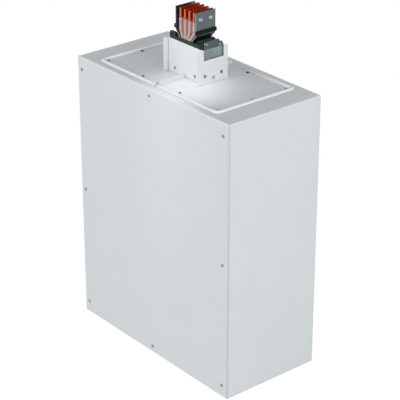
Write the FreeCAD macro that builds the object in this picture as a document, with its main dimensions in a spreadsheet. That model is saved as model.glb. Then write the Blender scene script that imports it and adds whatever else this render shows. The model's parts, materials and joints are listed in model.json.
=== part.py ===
import FreeCAD, Part
import math
import os
import re
import Sketcher

# Busway feed unit: a sheet steel cable box with a busway stub on its roof.
# Origin at the middle of the underside, +Z up, +X along the width, front cover towards -Y.

# Driving dimensions, in millimetres.
SIZES = {
    # Enclosure sheet metal
    "box_width": 600,
    "box_depth": 295,
    "box_height": 750,
    "box_sheet": 2,
    "box_bend": 3,
    "front_flange": 36,
    "panel_lip": 20,
    "fixing_inset_x": 50,
    "fixing_inset_z": 60,
    "fixing_radius": 5.5,
    # Front cover
    "cover_sheet": 2.5,
    "cover_edge": 2.2,
    "cover_gap": 2,
    "cover_clear": 0.4,
    "cover_screw_inset": 18,
    "cover_corner_inset": 33,
    "gasket_inset": 25,
    "gasket_width": 9,
    "stiffener_crown": 60,
    "stiffener_brim": 18,
    "stiffener_depth": 14,
    "stiffener_sheet": 1.5,
    "stiffener_end": 70,
    # Cable entry in the bottom panel
    "gland_offset": 140,
    "gland_length": 200,
    "gland_width": 150,
    "gland_margin": 20,
    "gland_sheet": 3,
    "gland_seal": 2,
    # Split flange pan on the roof
    "flange_length": 471,
    "flange_width": 258,
    "flange_sheet": 1.5,
    "flange_corner": 18,
    "rim_height": 7,
    "rim_width": 13.5,
    "rim_edge": 4.2,
    "seam_gap": 0.6,
    "seam_inset": 10,
    "seam_wall": 3,
    "seam_height": 11,
    "seam_end_round": 3,
    "flange_screw_inset_x": 18.2,
    "flange_screw_inset_y": 19.5,
    "flange_screw_inner": 73,
    # Trunk of the busway stub
    "trunk_width": 138,
    "trunk_rise": 91,
    "trunk_sheet": 2,
    "trunk_bend": 3,
    "trunk_clear": 0.5,
    "post_reach": 14,
    "notch_width": 64,
    "notch_shift": 2.3,
    "notch_depth": 28,
    "web_return": 18,
    "web_screw_spread": 78.6,
    "web_screw_rise": 16,
    "side_screw_spread": 53.2,
    "side_screw_rise": 23,
    "dome_screw_rise": 15,
    # Feet that carry the trunk
    "foot_sheet": 2,
    "foot_reach": 20,
    "foot_height": 30,
    "foot_tab": 24,
    "foot_length": 116,
    "foot_window": 48,
    "block_height": 26,
    "block_rise": 4,
    "block_width": 56,
    # Bar pack
    "bar_thickness": 6,
    "bar_width": 60,
    "bar_bend": 4,
    "sleeve_wall": 1,
    "pack_clear": 0.3,
    "joint_pitch": 17.2,
    "joint_top": 178,
    "bare_length": 26,
    "flare_top": 122,
    "flare_height": 22,
    "sleeve_bottom": 35,
    "fan_drop": 50,
    "fan_step": 25,
    "fan_slope": 1,
    "terminal_pitch": 110,
    "palm_end": 430,
    "palm_corner": 5,
    "palm_hole_radius": 6.5,
    "palm_hole_inset": 25,
    "palm_hole_pitch": 45,
    # Housing plates and black strips at the joint end
    "plate_sheet": 2,
    "plate_spread": 80,
    "plate_flare_top": 119,
    "plate_flare_height": 24,
    "plate_bottom": 28,
    "dimple_spread": 31,
    "dimple_drop": 19,
    "dimple_radius": 6,
    "dimple_height": 2.2,
    "dimple_taper": 35,
    "strip_height": 10,
    "strip_thickness": 3.5,
    "strip_lift": 3,
    "strip_overhang": 1.5,
    "strip_edge": 1,
    # Black end collar
    "collar_rise": 10,
    "collar_depth": 26,
    "collar_edge": 2,
    "shoulder_inset": 40,
    "shoulder_width": 12,
    "shoulder_height": 6,
    "shoulder_round": 5,
    "lug_inset": 3,
    "lug_width": 22,
    "lug_height": 19,
    "lug_thickness": 6,
    "lug_round": 4,
    "lug_hole_radius": 3.5,
    "lug_hole_rise": 11.5,
    # Bent shields behind the notches
    "shield_sheet": 1.5,
    "shield_run": 12,
    "shield_rise": 15,
    "shield_drop": 2,
    "shield_lap": 4,
    "shield_front_inset": 6.2,
    "shield_front_slant": 12.5,
    "shield_step_rise": 9.4,
    "shield_step_back": 7,
    "shield_screw_front": 9.5,
    "shield_screw_rear": 28.5,
    "shield_share_front": 0.7,
    "shield_share_rear": 0.35,
    # Terminal supports
    "comb_height": 25,
    "comb_depth": 26,
    "comb_grip": 8,
    "comb_level": 515,
    "comb_overhang": 35,
    "comb_clear": 0.3,
    "bracket_sheet": 2.5,
    "bracket_face": 30,
    "bracket_foot": 30,
    # Earth bar
    "earth_length": 300,
    "earth_height": 30,
    "earth_thickness": 6,
    "earth_level": 150,
    "earth_standoff": 25,
    "earth_end": 20,
    "earth_hole_radius": 4.5,
    "earth_hole_pitch": 40,
    # Fasteners
    "screw_radius": 2.4,
    "screw_hole": 2.6,
    "thread_clear": 0.3,
    "head_radius": 4.5,
    "head_height": 2.7,
    "flange_head_radius": 4.2,
    "flat_head_height": 1,
    "screw_grip": 6,
    "nut_height": 4,
    "rivet_radius": 4.2,
    "rivet_clear": 0.1,
    "rivet_length": 9,
    "bolt_radius": 4,
    "bolt_hole": 4.3,
    "bolt_head_radius": 7.5,
    "bolt_head_height": 5.3,
    "standoff_radius": 9,
}

NEAR = 0.01
X_AXIS = FreeCAD.Vector(1, 0, 0)
Y_AXIS = FreeCAD.Vector(0, 1, 0)
Z_AXIS = FreeCAD.Vector(0, 0, 1)

# Places worked out from the sizes
SIDE = "(box_width / 2)"
SIDE_INNER = "(box_width / 2 - box_sheet)"
ROOF_UNDER = "(box_height - box_sheet)"
FRONT = "(-box_depth / 2)"
COVER_BACK = "(-box_depth / 2 + cover_sheet)"
FRAME_FRONT = "(-box_depth / 2 + cover_sheet + cover_gap)"
FRAME_BACK = "(-box_depth / 2 + cover_sheet + cover_gap + box_sheet)"
BACK = "(box_depth / 2)"
BACK_INNER = "(box_depth / 2 - box_sheet)"
FLANGE_FLOOR = "(box_height + flange_sheet)"
FLANGE_X = "(flange_length / 2)"
FLANGE_Y = "(flange_width / 2)"
RIM_TOP = "(box_height + rim_height)"
TRUNK_X = "(trunk_width / 2)"
TRUNK_INNER = "(trunk_width / 2 - trunk_sheet)"
TRUNK_TOP = "(box_height + trunk_rise)"
NOTCH_FLOOR = "(box_height + trunk_rise - notch_depth)"
PACK_Y = "(bar_width / 2 + sleeve_wall)"
WEB_INNER = "(bar_width / 2 + sleeve_wall + trunk_clear)"
WEB_OUTER = "(bar_width / 2 + sleeve_wall + trunk_clear + trunk_sheet)"
POST_Y = "(bar_width / 2 + sleeve_wall + trunk_clear + trunk_sheet + post_reach)"
BAR_PITCH = "(bar_thickness + 2 * sleeve_wall + pack_clear)"
PLATE_INNER = "(2 * (bar_thickness + 2 * sleeve_wall + pack_clear))"
PLATE_OUTER = "(2 * (bar_thickness + 2 * sleeve_wall + pack_clear) + plate_sheet)"
JOINT_TOP = "(box_height + joint_top)"
PLATE_BEND = "(box_height + plate_flare_top)"
PLATE_SET = "(box_height + plate_flare_top - plate_flare_height)"
SHIELD_OUTER = f"({TRUNK_INNER} - trunk_sheet - pack_clear)"
SHIELD_INNER = f"({TRUNK_INNER} - trunk_sheet - pack_clear - shield_sheet)"
SHIELD_BEND = f"({TRUNK_TOP} - shield_drop)"
SHIELD_SLOPE = "(shield_rise / shield_run)"
SHIELD_SKEW = "(shield_sheet * sqrt(shield_run ^ 2 + shield_rise ^ 2) / shield_rise)"
SHIELD_TOP = f"({TRUNK_TOP} - shield_drop + shield_rise)"
SHIELD_LOW = f"({NOTCH_FLOOR} - shield_lap)"
SHIELD_REAR = "(notch_shift + notch_width / 2 + shield_lap)"
COLLAR_SIDE = f"({SHIELD_INNER} - pack_clear)"
COLLAR_KNEE = f"({SHIELD_BEND} - ({SHIELD_SKEW} - shield_sheet) * {SHIELD_SLOPE} - pack_clear)"
COLLAR_TOP = f"({TRUNK_TOP} + collar_rise)"
COLLAR_END = f"({COLLAR_SIDE} - ({COLLAR_TOP} - {COLLAR_KNEE}) / {SHIELD_SLOPE})"
COLLAR_FOOT = f"({COLLAR_SIDE} - ({TRUNK_TOP} - {COLLAR_KNEE}) / {SHIELD_SLOPE})"
COMB_TOP = "(comb_level + comb_height)"
COMB_FACE = "(bar_width / 2 - comb_grip)"
COMB_BACK = "(bar_width / 2 - comb_grip + comb_depth)"
EARTH_BACK = f"({BACK_INNER} - earth_standoff)"
EARTH_FRONT = f"({BACK_INNER} - earth_standoff - earth_thickness)"
RIVET_HOLE = "(rivet_radius + rivet_clear)"

BARS = ("l1", "l2", "l3", "n")
STRAIGHT_BAR = 1

# Small fasteners and their holes have few flat sides, which keeps their meshes light.
SHANK_SIDES = 8
HEAD_SIDES = 8
DIMPLE_SIDES = 12

doc = FreeCAD.newDocument("busway_feed_unit")
sheet = doc.addObject("Spreadsheet::Sheet", "Sizes")
pieces = []


def enter_sizes():
    for row, (name, value) in enumerate(SIZES.items(), start=1):
        sheet.set(f"A{row}", name)
        sheet.set(f"B{row}", str(value))
        sheet.setAlias(f"B{row}", name)
    doc.recompute()


def formula(text):
    """Point the size names in a formula at their cells."""
    return re.sub(r"[a-z]\w*", lambda word: f"Sizes.{word[0]}" if word[0] in SIZES else word[0], text)


def number(text):
    return float(sheet.evalExpression(text))


def new_body(label, keep=True):
    body = doc.addObject("PartDesign::Body", label)
    body.Label = label
    if keep:
        pieces.append(body)
    return body


def new_sketch(body, role, offset="0"):
    """Empty sketch on one of the body's origin planes, moved along that plane's normal."""
    support = next(feature for feature in body.Origin.OriginFeatures if feature.Role == role)
    sketch = body.newObject("Sketcher::SketchObject", f"{body.Name}_sketch")
    sketch.AttachmentSupport = [(support, "")]
    sketch.MapMode = "FlatFace"
    sketch.setExpression("AttachmentOffset.Base.z", formula(offset))
    return sketch


def plan(body, height):
    return new_sketch(body, "XY_Plane", height)


def elevation(body, y="0"):
    """Sketch seen from the front. It grows towards the front, because the plane faces -Y."""
    return new_sketch(body, "XZ_Plane", f"-({y})")


def side_view(body, x="0"):
    return new_sketch(body, "YZ_Plane", x)


def bind(sketch, kind, geometry, point, text):
    value = number(text)
    if point is None:
        index = sketch.addConstraint(Sketcher.Constraint(kind, geometry, value))
    else:
        index = sketch.addConstraint(Sketcher.Constraint(kind, geometry, point, value))
    sketch.setExpression(f"Constraints[{index}]", formula(text))


def outline(sketch, corners):
    """Closed polygon. Each corner is a pair of formulas."""
    points = [FreeCAD.Vector(number(x), number(y), 0) for x, y in corners]
    following = points[1:] + points[:1]
    first = sketch.GeometryCount
    sketch.addGeometry([Part.LineSegment(start, end) for start, end in zip(points, following)])
    count = len(points)
    for index in range(count):
        after = first + (index + 1) % count
        sketch.addConstraint(Sketcher.Constraint("Coincident", first + index, 2, after, 1))
    for index, (x, y) in enumerate(corners):
        bind(sketch, "DistanceX", first + index, 1, x)
        bind(sketch, "DistanceY", first + index, 1, y)
    return sketch


def rectangle(sketch, x_low, x_high, y_low, y_high):
    return outline(sketch, [(x_low, y_low), (x_high, y_low), (x_high, y_high), (x_low, y_high)])


def circles(sketch, centres, radius):
    for x, y in centres:
        centre = FreeCAD.Vector(number(x), number(y), 0)
        index = sketch.addGeometry(Part.Circle(centre, Z_AXIS, number(radius)))
        bind(sketch, "DistanceX", index, 3, x)
        bind(sketch, "DistanceY", index, 3, y)
        bind(sketch, "Radius", index, None, radius)
    return sketch


def polygons(sketch, centres, radius, sides=SHANK_SIDES):
    """Regular polygons. The first corner of each points along the sketch's own X."""
    turns = [2 * math.pi * step / sides for step in range(sides)]
    for x, y in centres:
        outline(sketch, [(f"({x} + {math.cos(turn):.5f} * {radius})",
                          f"({y} + {math.sin(turn):.5f} * {radius})") for turn in turns])
    return sketch


def pad(body, sketch, length, symmetric=False, reverse=False, taper=None):
    feature = body.newObject("PartDesign::Pad", f"{body.Name}_pad")
    feature.Profile = sketch
    feature.SideType = "Symmetric" if symmetric else "One side"
    feature.Reversed = reverse
    feature.setExpression("Length", formula(length))
    if taper:
        feature.setExpression("TaperAngle", formula(taper))
    doc.recompute()


def pocket(body, sketch, depth, symmetric=False, reverse=False):
    before = body.Shape.Volume
    feature = body.newObject("PartDesign::Pocket", f"{body.Name}_pocket")
    feature.Profile = sketch
    feature.SideType = "Symmetric" if symmetric else "One side"
    feature.Reversed = reverse
    feature.setExpression("Length", formula(depth))
    doc.recompute()
    if body.Shape.Volume > before - NEAR:
        raise RuntimeError(f"a pocket of {body.Label} cuts nothing")


def straight_edges(body, direction, **places):
    """Names of the body's straight edges along a direction, whose middles lie at the given places."""
    names = []
    for index, edge in enumerate(body.Shape.Edges, start=1):
        if edge.Curve.TypeId != "Part::GeomLine":
            continue
        if abs(edge.Curve.Direction.dot(direction)) < 1 - NEAR:
            continue
        middle = edge.CenterOfMass
        if all(any(abs(getattr(middle, axis) - number(text)) < NEAR for text in texts)
               for axis, texts in places.items()):
            names.append(f"Edge{index}")
    return names


def level_edges(body, height):
    """Names of the edges that lie wholly at one height."""
    level = number(height)
    names = []
    for index, edge in enumerate(body.Shape.Edges, start=1):
        box = edge.BoundBox
        if abs(box.ZMin - level) < NEAR and abs(box.ZMax - level) < NEAR:
            names.append(f"Edge{index}")
    return names


def round_edges(body, names, radius):
    if not names:
        raise RuntimeError(f"no edge of {body.Label} to round")
    feature = body.newObject("PartDesign::Fillet", f"{body.Name}_round")
    feature.Base = (feature.BaseFeature or body.Tip, names)
    feature.setExpression("Radius", formula(radius))
    doc.recompute()


def bevel_edges(body, names, size):
    if not names:
        raise RuntimeError(f"no edge of {body.Label} to bevel")
    feature = body.newObject("PartDesign::Chamfer", f"{body.Name}_bevel")
    feature.Base = (feature.BaseFeature or body.Tip, names)
    feature.setExpression("Size", formula(size))
    doc.recompute()


def mirrored(side, text):
    """A formula on the left (-1) or right (1) side."""
    return f"({side} * {text})"


def place_copy(source, x, y, z, axis=Z_AXIS, angle=0):
    """A copy of a template, turned about an axis and set at a place given by formulas."""
    copy = doc.addObject("App::Link", f"{source.Name}_copy")
    copy.LinkedObject = source
    copy.Placement = FreeCAD.Placement(FreeCAD.Vector(), FreeCAD.Rotation(axis, angle))
    copy.setExpression("Placement.Base.x", formula(x))
    copy.setExpression("Placement.Base.y", formula(y))
    copy.setExpression("Placement.Base.z", formula(z))
    return copy


def group(label, copies, keep=True):
    """Identical fasteners as one piece of separate solids."""
    compound = doc.addObject("Part::Compound", label)
    compound.Label = label
    compound.Links = copies
    if keep:
        pieces.append(compound)
    doc.recompute()
    return compound


def prism(name, sides, radius, height, base="0"):
    form = doc.addObject("Part::Prism", name)
    form.Polygon = sides
    form.setExpression("Circumradius", formula(radius))
    form.setExpression("Height", formula(height))
    form.setExpression("Placement.Base.z", formula(base))
    return form


def joined(kind, name, base, tool):
    result = doc.addObject(f"Part::{kind}", name)
    result.Base = base
    result.Tool = tool
    doc.recompute()
    return result


def screw_template(name, head, shank_radius, length):
    """Screw or bolt along Z. Its head, given as sides, radius and height, stands on zero."""
    shank = prism(f"{name}_shank", SHANK_SIDES, shank_radius, length, f"-({length})")
    return joined("Fuse", name, prism(f"{name}_head", *head), shank)


def nut_template(name, radius, bore, height):
    """Hexagon nut or pillar along Z, standing on zero."""
    hole = prism(f"{name}_bore", SHANK_SIDES, bore, height)
    return joined("Cut", name, prism(f"{name}_form", 6, radius, height), hole)


def rivet_nut_template():
    """Hexagon rivet nut along Z, hanging flush from zero."""
    barrel = prism("rivet_nut_barrel", 6, "rivet_radius", "rivet_length", "-rivet_length")
    bore = prism("rivet_nut_bore", SHANK_SIDES, "(screw_radius + thread_clear)", "rivet_length",
                 "-rivet_length")
    return joined("Cut", "rivet_nut", barrel, bore)


def bent_strip(body, stations, half, width, inner_bend):
    """Flat strip bent in the XZ plane, padded evenly about Y.

    The stations run downwards. They alternate: an upright run, a slanted run, an upright run and so on.
    """
    right = []
    left = []
    inner = []
    outer = []
    last = len(stations) - 1
    for index, (x, z) in enumerate(stations):
        if index in (0, last):
            right.append((f"({x} + {half})", z))
            left.append((f"({x} - {half})", z))
            continue
        above = index if index % 2 else index - 1
        (x_from, z_from), (x_to, z_to) = stations[above], stations[above + 1]
        mitre = f"{half} * tan(atan(({x_to} - {x_from}) / ({z_from} - {z_to})) / 2)"
        right.append((f"({x} + {half})", f"({z} + {mitre})"))
        left.append((f"({x} - {half})", f"({z} - {mitre})"))
        leans_right = number(f"{x_to} - {x_from}") > 0
        inside_right = leans_right == (index == above)
        inner.append(right[-1] if inside_right else left[-1])
        outer.append(left[-1] if inside_right else right[-1])
    pad(body, outline(elevation(body), right + left[::-1]), width, symmetric=True)
    for corners, radius in ((inner, inner_bend), (outer, f"({inner_bend} + 2 * {half})")):
        names = []
        for x, z in corners:
            names += straight_edges(body, Y_AXIS, x=[x], z=[z])
        if names:
            round_edges(body, names, radius)


# Screw places that several pieces share
COVER_SCREWS = [(mirrored(side, "(box_width / 2 - cover_screw_inset)"), z)
                for side in (-1, 1)
                for z in ("cover_corner_inset", "(box_height / 2)", "(box_height - cover_corner_inset)")]
COVER_SCREWS.append(("0", "(box_height - cover_screw_inset)"))
SILL_SCREW = ("0", "cover_screw_inset")


def flange_screws(side):
    x_outer = mirrored(side, "(flange_length / 2 - flange_screw_inset_x)")
    x_inner = mirrored(side, "flange_screw_inner")
    y_front = "(flange_screw_inset_y - flange_width / 2)"
    y_back = "(flange_width / 2 - flange_screw_inset_y)"
    return [(x_outer, y_front), (x_outer, "0"), (x_outer, y_back), (x_inner, y_front), (x_inner, y_back)]


FLANGE_SCREWS = flange_screws(-1) + flange_screws(1)
GLAND_SCREWS = {side: [(f"({mirrored(side, 'gland_offset')} + {a} * (gland_length + gland_margin) / 2)",
                        f"({b} * (gland_width + gland_margin) / 2)")
                       for a in (-1, 1) for b in (-1, 1)]
                for side in (-1, 1)}


def trunk_cutout(inner_x):
    """Right half of the opening round the trunk, from its front to its back."""
    near_x = f"({TRUNK_INNER} - trunk_clear)"
    far_x = f"({TRUNK_X} + trunk_clear)"
    near_y = f"({WEB_OUTER} + trunk_clear)"
    far_y = f"({POST_Y} + trunk_clear)"
    return [(inner_x, f"-{near_y}"), (near_x, f"-{near_y}"), (near_x, f"-{far_y}"), (far_x, f"-{far_y}"),
            (far_x, far_y), (near_x, far_y), (near_x, near_y), (inner_x, near_y)]


def flip(corners):
    return [(f"(-1 * {x})", y) for x, y in corners]


def enclosure_shell():
    """Left side, roof and right side folded from one sheet, with the front return flange."""
    body = new_body("enclosure_shell")
    pad(body, outline(elevation(body, BACK), [
        (f"-{SIDE}", "0"), (f"-{SIDE}", "box_height"), (SIDE, "box_height"), (SIDE, "0"),
        (SIDE_INNER, "0"), (SIDE_INNER, ROOF_UNDER), (f"-{SIDE_INNER}", ROOF_UNDER),
        (f"-{SIDE_INNER}", "0")]), f"{BACK} - {FRAME_FRONT}")
    edge = "(box_width / 2 - front_flange)"
    head = "(box_height - front_flange)"
    pad(body, outline(elevation(body, FRAME_FRONT), [
        (f"-{SIDE_INNER}", "0"), (f"-{SIDE_INNER}", ROOF_UNDER), (SIDE_INNER, ROOF_UNDER), (SIDE_INNER, "0"),
        (edge, "0"), (edge, head), (f"-{edge}", head), (f"-{edge}", "0")]), "box_sheet", reverse=True)
    throat = trunk_cutout("0")[1:-1]
    pocket(body, outline(plan(body, "box_height"), throat + flip(throat)[::-1]), "box_sheet")
    pocket(body, polygons(plan(body, "box_height"), FLANGE_SCREWS, "screw_hole"), "box_sheet")
    pocket(body, polygons(elevation(body, FRAME_FRONT), COVER_SCREWS, RIVET_HOLE, 6), "box_sheet")
    folds = straight_edges(body, Y_AXIS, x=[f"-{SIDE}", SIDE], z=["box_height"])
    folds += straight_edges(body, X_AXIS, y=[FRAME_FRONT], z=["box_height"])
    round_edges(body, folds, "box_bend")


def back_panel():
    """Folded pan that closes the back, with the wall fixing holes."""
    body = new_body("back_panel")
    pan = rectangle(elevation(body, BACK), f"-{SIDE_INNER}", SIDE_INNER, "box_sheet", ROOF_UNDER)
    pad(body, pan, "panel_lip")
    hollow = "(box_width / 2 - 2 * box_sheet)"
    pocket(body, rectangle(elevation(body, f"{BACK} - panel_lip"), f"-{hollow}", hollow,
                           "2 * box_sheet", "box_height - 2 * box_sheet"), "panel_lip - box_sheet")
    holes = [(mirrored(side, "(box_width / 2 - fixing_inset_x)"), z)
             for side in (-1, 1) for z in ("fixing_inset_z", "(box_height - fixing_inset_z)")]
    pocket(body, circles(elevation(body, BACK_INNER), holes, "fixing_radius"), "box_sheet")
    folds = straight_edges(body, Z_AXIS, x=[f"-{SIDE_INNER}", SIDE_INNER], y=[BACK])
    folds += straight_edges(body, X_AXIS, y=[BACK], z=["box_sheet", ROOF_UNDER])
    round_edges(body, folds, "box_bend")


def bottom_panel():
    """Floor sheet with two cable openings, side lips and the front sill flange."""
    body = new_body("bottom_panel")
    pad(body, rectangle(plan(body, "0"), f"-{SIDE_INNER}", SIDE_INNER, FRAME_BACK, BACK), "box_sheet")
    edge = "(box_width / 2 - front_flange)"
    sill = rectangle(elevation(body, FRAME_FRONT), f"-{edge}", edge, "0", "front_flange")
    pad(body, sill, "box_sheet", reverse=True)
    sketch = plan(body, "0")
    lip_inner = "(box_width / 2 - 2 * box_sheet)"
    lip_end = f"({BACK} - panel_lip - box_sheet)"
    rectangle(sketch, lip_inner, SIDE_INNER, FRAME_BACK, lip_end)
    rectangle(sketch, f"-{SIDE_INNER}", f"-{lip_inner}", FRAME_BACK, lip_end)
    pad(body, sketch, "panel_lip")
    sketch = plan(body, "box_sheet")
    for side in (-1, 1):
        middle = mirrored(side, "gland_offset")
        rectangle(sketch, f"{middle} - gland_length / 2", f"{middle} + gland_length / 2",
                  "-gland_width / 2", "gland_width / 2")
    pocket(body, sketch, "box_sheet")
    drilling = polygons(plan(body, "box_sheet"), GLAND_SCREWS[-1] + GLAND_SCREWS[1], "screw_hole")
    pocket(body, drilling, "box_sheet")
    pocket(body, polygons(elevation(body, FRAME_FRONT), [SILL_SCREW], RIVET_HOLE, 6), "box_sheet")


def gland_set(side, name):
    """Blank gland plate and the gasket under it."""
    middle = mirrored(side, "gland_offset")
    length = "(gland_length / 2 + gland_margin)"
    width = "(gland_width / 2 + gland_margin)"
    seal_top = "(box_sheet + gland_seal)"
    for label, base, thickness in ((f"gland_gasket_{name}", "box_sheet", "gland_seal"),
                                   (f"gland_plate_{name}", seal_top, "gland_sheet")):
        body = new_body(label)
        pad(body, rectangle(plan(body, base), f"{middle} - {length}", f"{middle} + {length}",
                            f"-{width}", width), thickness)
        drilling = polygons(plan(body, f"{base} + {thickness}"), GLAND_SCREWS[side], "screw_hole")
        pocket(body, drilling, thickness)
        if thickness == "gland_seal":
            window = rectangle(plan(body, seal_top), f"{middle} - gland_length / 2",
                               f"{middle} + gland_length / 2", "-gland_width / 2", "gland_width / 2")
            pocket(body, window, thickness)


def front_cover():
    """Sheet over the whole front, with a low lip round its back that hides the gasket."""
    body = new_body("front_cover")
    pad(body, rectangle(elevation(body, COVER_BACK), f"-{SIDE}", SIDE, "0", "box_height"), "cover_sheet")
    lip = rectangle(elevation(body, COVER_BACK), f"-{SIDE}", SIDE, "0", "box_height")
    lip_x = "(box_width / 2 - cover_sheet)"
    rectangle(lip, f"-{lip_x}", lip_x, "cover_sheet", "box_height - cover_sheet")
    pad(body, lip, "cover_gap - cover_clear", reverse=True)
    pocket(body, polygons(elevation(body, FRONT), COVER_SCREWS + [SILL_SCREW], "screw_hole"), "cover_sheet")
    rims = straight_edges(body, Z_AXIS, x=[f"-{SIDE}", SIDE], y=[FRONT])
    rims += straight_edges(body, X_AXIS, y=[FRONT], z=["0", "box_height"])
    bevel_edges(body, rims, "cover_edge")


def cover_gasket():
    """Foam frame on the back of the cover, just clear of the front flange."""
    body = new_body("cover_gasket")
    thickness = "cover_gap - pack_clear"
    x_outer = "(box_width / 2 - gasket_inset)"
    x_inner = "(box_width / 2 - gasket_inset - gasket_width)"
    inner_end = "(gasket_inset + gasket_width)"
    pad(body, rectangle(elevation(body, COVER_BACK), f"-{x_outer}", x_outer,
                        "gasket_inset", "box_height - gasket_inset"), thickness, reverse=True)
    pocket(body, rectangle(elevation(body, COVER_BACK), f"-{x_inner}", x_inner,
                           inner_end, f"box_height - {inner_end}"), thickness)


def cover_stiffener():
    """Hat section up the middle of the cover's back."""
    body = new_body("cover_stiffener")
    crown = "(stiffener_crown / 2)"
    crown_inner = "(stiffener_crown / 2 - stiffener_sheet)"
    brim = "(stiffener_crown / 2 + stiffener_brim)"
    brim_back = f"({COVER_BACK} + stiffener_sheet)"
    top = f"({COVER_BACK} + stiffener_depth)"
    top_inner = f"({COVER_BACK} + stiffener_depth - stiffener_sheet)"
    right = [(crown_inner, top_inner), (crown_inner, COVER_BACK), (brim, COVER_BACK), (brim, brim_back),
             (crown, brim_back), (crown, top)]
    hat = outline(plan(body, "stiffener_end"), right + flip(right)[::-1])
    pad(body, hat, "box_height - 2 * stiffener_end")
    folds = straight_edges(body, Z_AXIS, x=[f"-{crown}", crown], y=[top])
    round_edges(body, folds, "2 * stiffener_sheet")


def flange_half(side, name):
    """Half of the split pan: floor, raised bead round the outside, upturned wall along the seam."""
    body = new_body(f"flange_half_{name}")
    seam = "(seam_gap / 2)"
    outer = [(seam, f"-{FLANGE_Y}"), (FLANGE_X, f"-{FLANGE_Y}"), (FLANGE_X, FLANGE_Y), (seam, FLANGE_Y)]
    floor = outer + trunk_cutout(seam)[::-1]
    rim_x = f"({FLANGE_X} - rim_width)"
    rim_y = f"({FLANGE_Y} - rim_width)"
    band = outer + [(seam, rim_y), (rim_x, rim_y), (rim_x, f"-{rim_y}"), (seam, f"-{rim_y}")]
    if side < 0:
        floor = flip(floor)
        band = flip(band)
    pad(body, outline(plan(body, "box_height"), floor), "flange_sheet")
    pad(body, outline(plan(body, "box_height"), band), "rim_height")
    for x, y, radius in ((FLANGE_X, FLANGE_Y, "flange_corner"), (rim_x, rim_y, "flange_corner - rim_width")):
        corners = straight_edges(body, Z_AXIS, x=[mirrored(side, x)], y=[f"-{y}", y])
        round_edges(body, corners, radius)
    crest = [edge for edge in level_edges(body, RIM_TOP)
             if edge not in straight_edges(body, Y_AXIS, x=[mirrored(side, seam)])]
    bevel_edges(body, crest, "rim_edge")
    wall_start = f"({WEB_OUTER} + trunk_clear)"
    wall_end = f"({FLANGE_Y} - seam_inset)"
    wall_top = "(box_height + seam_height)"
    walls = side_view(body, mirrored(side, seam))
    for start, end in ((wall_start, wall_end), (f"-{wall_end}", f"-{wall_start}")):
        rectangle(walls, start, end, "box_height", wall_top)
    pad(body, walls, "seam_wall", reverse=side < 0)
    tips = straight_edges(body, X_AXIS, y=[f"-{wall_end}", wall_end], z=[wall_top])
    round_edges(body, tips, "seam_end_round")
    pocket(body, polygons(plan(body, FLANGE_FLOOR), flange_screws(side), "screw_hole"), "flange_sheet")


def trunk_side(side, name):
    """Side plate with posts at both ends and a notch between them."""
    body = new_body(f"trunk_side_{name}")
    start = TRUNK_INNER if side > 0 else f"-{TRUNK_X}"
    notch_front = "(notch_shift - notch_width / 2)"
    notch_rear = "(notch_shift + notch_width / 2)"
    pad(body, outline(side_view(body, start), [
        (f"-{POST_Y}", ROOF_UNDER), (POST_Y, ROOF_UNDER), (POST_Y, TRUNK_TOP), (notch_rear, TRUNK_TOP),
        (notch_rear, NOTCH_FLOOR), (notch_front, NOTCH_FLOOR), (notch_front, TRUNK_TOP),
        (f"-{POST_Y}", TRUNK_TOP)]), "trunk_sheet")
    holes = [(f"({end} * side_screw_spread / 2)", "(box_height + side_screw_rise)") for end in (-1, 1)]
    holes.append(("0", "(box_height + dome_screw_rise)"))
    pocket(body, polygons(side_view(body, f"{start} + trunk_sheet"), holes, "screw_hole"), "trunk_sheet")


def trunk_web(side, name):
    """Channel between the side plates, cut down where the shields and their skirts pass."""
    body = new_body(f"trunk_web_{name}")
    outer = mirrored(side, WEB_OUTER)
    inner = mirrored(side, WEB_INNER)
    end = mirrored(side, f"({WEB_INNER} - web_return)")
    side_inner = f"({TRUNK_INNER} - trunk_sheet)"
    right = [(TRUNK_INNER, outer), (TRUNK_INNER, end), (side_inner, end), (side_inner, inner)]
    pad(body, outline(plan(body, ROOF_UNDER), right + flip(right)[::-1]), f"{TRUNK_TOP} - {ROOF_UNDER}")
    near, back = (COLLAR_FOOT, outer) if side > 0 else (side_inner, inner)
    sketch = plan(body, TRUNK_TOP)
    rectangle(sketch, near, TRUNK_INNER, back, end)
    rectangle(sketch, f"-{TRUNK_INNER}", f"-{near}", back, end)
    pocket(body, sketch, f"{TRUNK_TOP} - {SHIELD_LOW} + pack_clear")
    bends = straight_edges(body, Z_AXIS, x=[f"-{TRUNK_INNER}", TRUNK_INNER], y=[outer])
    round_edges(body, bends, "trunk_bend")
    holes = [(f"({end} * web_screw_spread / 2)", "(box_height + web_screw_rise)") for end in (-1, 1)]
    pocket(body, polygons(elevation(body, outer), holes, "screw_hole"), "trunk_sheet", reverse=side > 0)
    returns = [(f"({side} * side_screw_spread / 2)", "(box_height + side_screw_rise)")]
    pocket(body, polygons(side_view(body, "0"), returns, "screw_hole"), "trunk_width", symmetric=True)


def foot_side(side, name):
    """Angle under the roof that carries a side plate."""
    body = new_body(f"foot_angle_{name}")
    base = f"({ROOF_UNDER} - foot_sheet)"
    inner = mirrored(side, f"({TRUNK_INNER} - foot_sheet)")
    face = mirrored(side, TRUNK_INNER)
    toe = mirrored(side, f"({TRUNK_X} + foot_reach)")
    head = f"({ROOF_UNDER} + foot_height)"
    pad(body, outline(elevation(body), [(inner, base), (toe, base), (toe, ROOF_UNDER), (face, ROOF_UNDER),
                                        (face, head), (inner, head)]), "foot_tab", symmetric=True)
    round_edges(body, straight_edges(body, Y_AXIS, x=[inner], z=[base]), "foot_sheet")
    hole = polygons(side_view(body, "0"), [("0", "(box_height + dome_screw_rise)")], "screw_hole")
    pocket(body, hole, "trunk_width", symmetric=True)


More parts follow.
